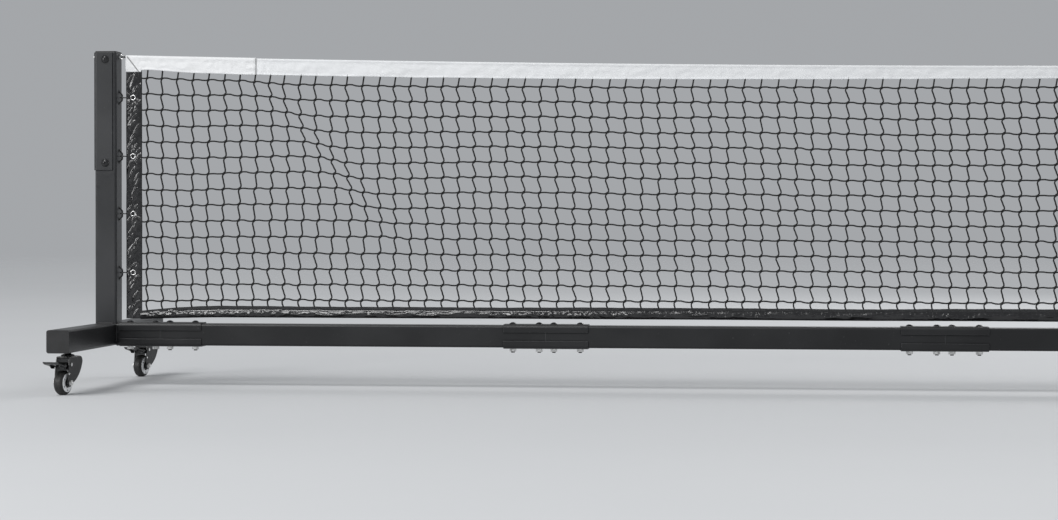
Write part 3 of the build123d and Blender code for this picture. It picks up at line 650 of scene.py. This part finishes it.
def add_net(material):
    rng = random.Random(20)
    knots = knot_places(rng)
    cuts = [0, 24, 48, 72, 96, 120, COLUMNS - 1]
    for number, (first, last) in enumerate(zip(cuts, cuts[1:]), start=1):
        shape = Shape()
        columns = range(first, last + (1 if last == COLUMNS - 1 else 0))
        for i in columns:
            shape.tube(hanging_cord(knots, i, rng), CORD_RADIUS, 6)
            for j in range(ROWS):
                add_knot(shape, knots[i, j], rng)
        for j in range(ROWS):
            shape.tube(level_cord(knots, j, first, last, rng), CORD_RADIUS, 6)
        shape.finish(f"net_mesh_{number}", material, ["net_panel"])


# ---------------------------------------------------------------- headband and bands

# Radius of the bead over the cable, half the gap between the two faces, and levels across a face.
TAPE_SIZES = (0.0034, 0.0019, 8)
SLEEVE_SIZES = (0.0050, 0.0032, 22)
TAPE_STEP, SLEEVE_STEP, TAPE_OVERLAP = 0.006, 0.004, 0.03


def across_tape(cable, edge, bead, gap, levels):
    """The line across a folded tape, from the turned-in hem in front, over the cable, to the hem behind,
    as (y, z)."""
    front = [(-0.35 * gap, edge + 0.006), (-0.35 * gap, edge + 0.0015)]
    front += [(-0.62 * gap, edge), (-gap, edge + 0.0012)]
    front += [(-1.04 * gap, z) for z in np.linspace(edge + 0.0045, cable - 2.2 * bead, levels)]
    swell = bead - gap
    front += [(-gap - 0.25 * swell, cable - 1.5 * bead), (-gap - 0.75 * swell, cable - 0.8 * bead)]
    front += [(-bead * math.cos(a), cable + bead * math.sin(a)) for a in np.radians((-12, 15, 40, 65))]
    return np.array(front + [(0, cable + bead)] + [(-y, z) for y, z in reversed(front)])


def stations(low, high, step, fine_ends=()):
    """Places along X, closer together beside the given ends."""
    places = [low]
    while places[-1] < high - 1e-6:
        x = places[-1]
        near = min((abs(x - end) for end in fine_ends), default=1.0)
        places.append(min(high, x + (step if near > 0.05 else step / 3)))
    return np.array(places)


def tape_push(x, z, edge, top, seed):
    """How far the face of the tape stands out at a point: long ripples and slanting creases."""
    depth = min(1.0, max(0.0, (z - edge) / 0.008)) * min(1.0, max(0.0, (top - z) / 0.015))
    push = 0.0013 * ripple(x, z, seed + 1, 0.09) + 0.0009 * fold(x, z, seed + 2, 0.045) * depth
    return push + 0.0011 * fold(0.9 * x + 0.6 * z, z - 0.5 * x, seed + 3, 0.030) * depth


def mitre_push(x, z):
    """The slanting fold at the end: the turned-down flap stands proud, with a groove beside it."""
    inward = (NET_END - abs(x)) - MITRE_START - MITRE_SLOPE * (HEAD_HIGH.z - z)
    return 0.0012 * min(1.0, max(0.0, -inward / 0.0012)) - 0.0026 * math.exp(-((inward / 0.0018) ** 2))


def add_tape(name, low, high, bead, gap, levels, step, edge_z, material, seed):
    """One length of the folded headband. An end sleeve has a mitred flap and an inner hem."""
    sleeve = edge_z is sleeve_edge_z
    fine = [-NET_END + 0.02, NET_END - 0.02] if sleeve else [-SEAM_X, SEAM_X]
    xs = stations(low, high, step, fine)
    points, uvs, widths = [], [], []
    for x in xs:
        edge = edge_z(x) + 0.0007 * ripple(x, 0, seed, 0.08)
        line = across_tape(cable_z(x), edge, bead, gap, levels)
        walked = np.concatenate([[0], np.cumsum(np.linalg.norm(np.diff(line, axis=0), axis=1))])
        hem = walked[2]
        tuck = 0.0
        if sleeve:
            tuck = 0.5 * math.exp(-(((abs(x) - SEAM_X) / 0.0012) ** 2))
        row = []
        for y, z in line:
            push = tape_push(x, z, edge, cable_z(x) + bead, seed)
            if sleeve:
                push += mitre_push(x, z)
            else:
                push -= 0.0010 * math.exp(-(((abs(x) - SEAM_X + 0.001) / 0.003) ** 2))
            out = y + math.copysign(push * min(1.0, abs(y) / (0.6 * gap)), y)
            row.append((x, out * (1 - tuck), z))
        points.append(row)
        uvs.append([(x, min(s - hem, walked[-1] - hem - s)) for s in walked])
        widths.append(float(walked[-1]))
    shape = Shape()
    shape.grid(np.array(points), np.array(uvs))
    piece = shape.finish(name, material, ["headband"])


class Creases:
    """Soft straight folds pressed into vinyl. Each fades towards both its ends."""

    def __init__(self):
        self.folds = []

    def add(self, x, z, lean, length, width, height):
        self.folds.append((x, z, math.cos(lean), math.sin(lean), length / 2, width, height))

    def height(self, x, z):
        total = np.zeros_like(x)
        for fold_x, fold_z, c, s, half, width, height in self.folds:
            near = np.abs(x[:, 0] - fold_x) < half + 3 * width if x.shape[0] > 1000 else slice(None)
            along = (x[near] - fold_x) * c + (z[near] - fold_z) * s
            across = (z[near] - fold_z) * c - (x[near] - fold_x) * s
            across = across - 0.15 * along * along / half
            fade = np.maximum(0, 1 - (along / half) ** 2)
            total[near] += height * fade * np.exp(-((across / width) ** 2))
        return total


def drawn(rng, *spans):
    """One random number from each span, in order."""
    return [rng.uniform(low, high) for low, high in spans]


def side_creases(face):
    """The folds of a side band: slanting ones all the way down, and a fan of them at each grommet."""
    rng = random.Random(30 + face)
    creases = Creases()
    z = SIDE_LOW.z + 0.012
    while z < SIDE_HIGH.z:
        lean = math.radians(rng.uniform(104, 130))
        x = rng.uniform(PANEL_END + 0.010, NET_END - 0.008)
        creases.add(x, z, lean, *drawn(rng, (0.024, 0.052), (0.0018, 0.0034), (0.0016, 0.0032)))
        z += rng.uniform(0.009, 0.021)
    for grommet in GROMMET_HEIGHTS:
        for angle in (122, 106, 78, 208, 242, 298, 30):
            lean = math.radians(angle + rng.uniform(-9, 9))
            length = rng.uniform(0.020, 0.034)
            reach = 0.008 + length / 2
            width, height = drawn(rng, (0.0014, 0.0022), (0.0014, 0.0024))
            crease_x, crease_z = GROMMET_X + reach * math.cos(lean), grommet + reach * math.sin(lean)
            creases.add(crease_x, crease_z, lean, length, width, height)
    return creases


def add_side_band(side, material):
    """A vinyl sleeve folded round the end of the net, creased and pulled in at each grommet."""
    name = "left" if side < 0 else "right"
    steps = np.concatenate([np.linspace(0, 0.94, 36), (0.965, 0.985, 1.0)])
    zs = np.linspace(SIDE_LOW.z, SIDE_HIGH.z + 0.004, 450)
    wave = np.array([0.0014 * ripple(0, z, 31, 0.06) for z in zs])
    halves = []
    for face in (-1, 1):
        x = PANEL_END + (NET_END - PANEL_END) * steps[None, :] + wave[:, None] * (steps[None, :] - 0.5)
        z = np.broadcast_to(zs[:, None], x.shape)
        height = side_creases(face).height(x, z)
        near = np.min([np.hypot(x - GROMMET_X, z - g) for g in GROMMET_HEIGHTS], axis=0)
        flat = np.clip((near - 0.0085) / 0.007, 0, 1)
        closed = np.sqrt(np.clip((1 - steps) / 0.06, 0, 1))[None, :]
        fade = np.clip(steps / 0.05, 0.35, 1)[None, :]
        y = face * (0.0021 + height * flat * fade) * closed
        halves.append(np.stack([side * x, y, z], axis=-1))
    points = np.concatenate([halves[0], halves[1][:, -2::-1]], axis=1)
    walked = np.linspace(0, 2 * (NET_END - PANEL_END), points.shape[1])
    uvs = np.stack(np.meshgrid(zs, walked, indexing="ij"), axis=-1)
    shape = Shape()
    shape.grid(points, uvs)
    piece = shape.finish(f"{name}_side_sleeve", material, [f"{name}_side_band"])
    flat = (2 * (NET_END - PANEL_END) + 0.004, SIDE_HIGH.z - SIDE_LOW.z + 0.004)


def bottom_creases(face):
    """The folds of the bottom band: long level ones, and crumpled stretches with short slanting ones."""
    rng = random.Random(40 + face)
    creases = Creases()
    x = -PANEL_END
    while x < PANEL_END:
        crumpled = ripple(x, face, 46, 0.45) > 0.02 or PANEL_END - abs(x) < 0.42
        z = rng.uniform(BAND_LOW.z + 0.004, BAND_LOW.z + 0.018)
        if crumpled:
            lean = math.radians(rng.uniform(-38, 38))
            creases.add(x, z, lean, *drawn(rng, (0.010, 0.026), (0.0013, 0.0024), (0.0012, 0.0026)))
            x += rng.uniform(0.004, 0.010)
        else:
            lean = math.radians(rng.uniform(-6, 6))
            creases.add(x, z, lean, *drawn(rng, (0.040, 0.110), (0.0016, 0.0028), (0.0014, 0.0026)))
            x += rng.uniform(0.018, 0.040)
    return creases


def add_bottom_band(material):
    """A vinyl strip folded up round the foot of the mesh, crinkled along its whole length."""
    xs = np.arange(-PANEL_END - 0.004, PANEL_END + 0.0041, 0.0032)
    rises = np.concatenate([(0.0, 0.03), np.linspace(0.08, 1.0, 14)])
    top = np.array([band_top_z(x) for x in xs])[:, None]
    low = np.array([band_low_z(x) for x in xs])[:, None]
    halves = []
    for face in (-1, 1):
        rise = rises[None, ::-1]
        wander = np.array([[0.0008 * ripple(x, face, 44, 0.03)] for x in xs])
        z = low + (top - low) * rise + wander * np.minimum(1, 8 * rise)
        x = np.broadcast_to(xs[:, None], z.shape)
        body = np.where(rise > 0, 0.0019 + 0.0030 * np.sin(math.pi * np.minimum(1.0, 1.5 * rise)), 0.0)
        level = np.sin(math.pi * np.minimum(1.0, 0.06 + 0.94 * rise)) ** 0.7
        y = face * (body + bottom_creases(face).height(x, z) * level)
        halves.append(np.stack([x, y, z], axis=-1))
    points = np.concatenate([halves[0], halves[1][:, -2::-1]], axis=1)
    walked = np.linspace(0, 2 * (BAND_HIGH.z - BAND_LOW.z), points.shape[1])
    uvs = np.stack(np.meshgrid(xs, walked, indexing="ij"), axis=-1)
    shape = Shape()
    shape.grid(points, uvs)
    piece = shape.finish("bottom_sleeve", material, ["bottom_band"])


CABLE_RADIUS, CABLE_OVERHANG = 0.0025, 0.0025
FERRULE = [(-0.012, 0.0026), (-0.012, 0.0032), (-0.0112, 0.0036), (-0.0008, 0.0036), (0.0, 0.0032), (0.0, 0.002)]


def add_cable(material):
    """The wire rope inside the headband, with a ferrule and an eye loop at each end."""
    xs = np.linspace(-NET_END - CABLE_OVERHANG, NET_END + CABLE_OVERHANG, 240)
    shape = Shape()
    shape.tube([(x, 0, cable_z(x)) for x in xs], CABLE_RADIUS, 12)
    for side in (-1, 1):
        centre = side * (NET_END + CABLE_OVERHANG + EYE_LOOP_RADIUS)
        turn = np.linspace(0, 2 * math.pi, 33)
        loop = [(centre + EYE_LOOP_RADIUS * math.cos(a), EYE_LOOP_RADIUS * math.sin(a), CABLE_END_Z) for a in turn]
        shape.tube(loop, 0.00175, 10, (0.0, 0.0, 1.0))
        lathe(shape, (side * (NET_END + 0.0035), 0, CABLE_END_Z), (side, 0, 0), FERRULE)
    return shape.finish("cable_rope", material, ["top_cable"])


def add_grommets(material):
    """Rolled metal rings through the side bands, one at each hook."""
    profile = [(-0.0020, 0.0080), (-0.0030, 0.0077), (-0.0035, 0.0068), (-0.0034, 0.0057), (-0.0027, 0.0048),
               (-0.0010, 0.0045), (0.0010, 0.0045), (0.0027, 0.0048), (0.0034, 0.0057), (0.0035, 0.0068),
               (0.0030, 0.0077), (0.0020, 0.0080), (-0.0020, 0.0080)]
    shape = Shape()
    for side in (-1, 1):
        for z in GROMMET_HEIGHTS:
            lathe(shape, (side * GROMMET_X, 0, z), (0, 1, 0), profile, 28)
    shape.finish("grommet_rings", material, ["net_grommets"])


# ---------------------------------------------------------------- welds and rivets

WELD_RADIUS, FLAT_WELD_RADIUS, WELD_RIPPLE = 0.0026, 0.0022, 0.0031


def weld(shape, start, end, radius, rng):
    """A bead laid along a corner, with the close ripples of a weld."""
    start, end = np.array(start), np.array(end)
    length = np.linalg.norm(end - start)
    count = max(8, int(length / 0.0009))
    t = np.linspace(0, 1, count)
    path = start + (end - start) * t[:, None]
    way = (end - start) / length
    side = np.array((0.0, 0, 1)) if abs(way[2]) < 0.5 else np.array((0.0, 1, 0))
    path += side * (rng.uniform(-1, 1) * 0.0002 * np.sin(9 * t))[:, None]
    ripples = 1 + 0.13 * np.abs(np.sin(math.pi * t * length / WELD_RIPPLE))
    size = radius * ripples * np.minimum(1, 12 * np.minimum(t, 1 - t) + 0.25)
    shape.tube(path, size, 10, np.cross(way, side))


def add_welds(material):
    rng = random.Random(5)
    for side, name in ((-1, "left"), (1, "right")):
        shape = Shape()
        x = side * POST_X
        near = x - side * HALF_TUBE
        flat = HALF_TUBE - 0.005
        for y in (-HALF_TUBE, HALF_TUBE):
            weld(shape, (x - flat, y, FOOT_TOP), (x + flat, y, FOOT_TOP), WELD_RADIUS, rng)
            weld(shape, (near, y, FOOT_BOTTOM + 0.006), (near, y, FOOT_TOP - 0.006), WELD_RADIUS, rng)
        weld(shape, (near, -0.024, FOOT_TOP), (near, 0.024, FOOT_TOP), WELD_RADIUS, rng)
        weld(shape, (near, -0.024, FOOT_BOTTOM), (near, 0.024, FOOT_BOTTOM), FLAT_WELD_RADIUS, rng)
        for level in GROMMET_HEIGHTS:
            for end in (-0.0172, 0.0172):
                ring = np.linspace(0, 2 * math.pi, 15)
                up = level + end + 0.0032 * np.sin(ring)
                path = np.stack([np.full(len(ring), near), 0.0026 * np.cos(ring), up], axis=-1)
                shape.tube(path, 0.0011, 6, (1.0, 0, 0))
        shape.finish(f"{name}_weld_beads", material)


def lathe(shape, centre, axis, profile, sides=20):
    """A turned shape about an axis through centre: profile is (distance along the axis, radius)."""
    axis = np.array(axis, float) / np.linalg.norm(axis)
    side = np.cross(axis, (0.0, 0.0, 1.0))
    side /= np.linalg.norm(side)
    up = np.cross(side, axis)
    angle = np.linspace(0, 2 * math.pi, sides, endpoint=False)
    ring = np.cos(angle)[:, None] * side + np.sin(angle)[:, None] * up
    rows = np.array([np.array(centre) + d * axis + r * ring for d, r in profile])
    uv = np.stack(np.meshgrid([d for d, _ in profile], np.linspace(0, 1, sides + 1), indexing="ij"), axis=-1)
    shape.grid(rows, uv, closed_v=True)


def add_rivets(place, wheel_axis, material):
    """A rivet on each cheek of a fork, as the pressed brake catch is held."""
    hub_low, hub_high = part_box(f"{place}_hub")
    centre = (Vector(hub_low) + Vector(hub_high)) / 2
    roll = Vector((-wheel_axis.y, wheel_axis.x, 0))
    shape = Shape()
    for side in (-1, 1):
        point = centre + wheel_axis * side * 0.020 + Vector((0, 0, 0.0235)) + roll * 0.003
        profile = [(-0.0004, 0.0030), (0.0003, 0.0030), (0.0010, 0.0026), (0.0015, 0.0016), (0.0017, 0.0001)]
        lathe(shape, point, wheel_axis * side, profile, 16)
    shape.finish(f"{place}_rivets", material, body=f"{place}_swivel")


# ---------------------------------------------------------------- putting it together

def dress(nodes, material):
    for name in nodes:
        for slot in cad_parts[name].material_slots:
            slot.material = material


FLOOR_RADIUS, FLOOR_SIDES = 36, 96


def add_floor():
    points, faces = [(0, 0, 0)], []
    for k in range(FLOOR_SIDES):
        a = 2 * math.pi * k / FLOOR_SIDES
        points.append((FLOOR_RADIUS * math.cos(a), FLOOR_RADIUS * math.sin(a), 0))
        faces.append((0, 1 + k, 1 + (k + 1) % FLOOR_SIDES))
    mesh = bpy.data.meshes.new("floor")
    mesh.from_pydata(points, [], faces)
    mesh.materials.append(floor_material())
    floor = bpy.data.objects.new("floor", mesh)
    scene.collection.objects.link(floor)


def main():
    add_camera()
    add_lights()
    add_floor()

    steel = powder_coat("black_steel", (0.006, 0.0063, 0.0070), (0.010, 0.0105, 0.0115), 0.40, 0.10)
    # Painted light: the posts wear the same black powder coat as the beam and feet; this lighter copy paints the
    # extra light the posts catch.
    post_steel = powder_coat("post_steel", (0.017, 0.018, 0.0195), (0.025, 0.026, 0.028), 0.42, 0.12)
    caster_steel = powder_coat("caster_steel", (0.005, 0.005, 0.0055), (0.009, 0.009, 0.0095), 0.30, 0.05)
    zinc = bright_metal("zinc_hardware", (0.80, 0.80, 0.79), 0.26)
    hardware = black_hardware()
    vinyl = band_vinyl()

    sections = [f"beam_section_{k}" for k in range(1, 7)] + [f"splice_{k}" for k in range(1, 8)]
    low_frame = [f"{side}_{name}" for side in ("left", "right") for name in ("foot_tube", "beam_stub")]
    uprights = [f"{side}_{name}" for side in ("left", "right") for name in ("post", "post_channel")]
    dress(sections + low_frame, steel)
    dress(uprights, post_steel)
    dress(["splice_bolts", "post_bolts", "net_loops", "net_hooks"], hardware)
    dress(["splice_nuts", "post_nuts", "eye_bolts"], zinc)
    dress(["post_caps", "foot_end_caps"], moulded_plastic())
    dress(["caster_stems"], caster_steel)
    for place in ("left_front", "left_rear", "right_front", "right_rear"):
        low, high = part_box(f"{place}_tyre")
        centre = (Vector(low) + Vector(high)) / 2
        turn = math.radians(78 if place.startswith("left") else 102)
        axis = Vector((-math.sin(turn), math.cos(turn), 0))
        dress([f"{place}_fork", f"{place}_brake_pedal"], caster_steel)
        dress([f"{place}_axle_set"], zinc)
        dress([f"{place}_tyre"], tyre_rubber(centre, axis))
        dress([f"{place}_hub"], wheel_hub(centre, axis))
        add_rivets(place, axis, zinc)

    add_net(net_cord())
    add_cable(steel_cable())
    tape = tape_vinyl("white_vinyl", (0.81, 0.82, 0.83), seam_line)
    sleeve = tape_vinyl("white_sleeve", (0.83, 0.835, 0.84), mitre_line)
    reach = SEAM_X + TAPE_OVERLAP
    add_tape("headband_tape", -SEAM_X - TAPE_OVERLAP, reach, *TAPE_SIZES, TAPE_STEP, tape_edge_z, tape, 51)
    for name, low, high, seed in (("left", -NET_END, -SEAM_X, 61), ("right", SEAM_X, NET_END, 71)):
        piece = f"headband_sleeve_{name}"
        add_tape(piece, low, high, *SLEEVE_SIZES, SLEEVE_STEP, sleeve_edge_z, sleeve, seed)
    add_grommets(zinc)
    for side in (-1, 1):
        add_side_band(side, vinyl)
    add_bottom_band(vinyl)
    add_welds(steel)


main()
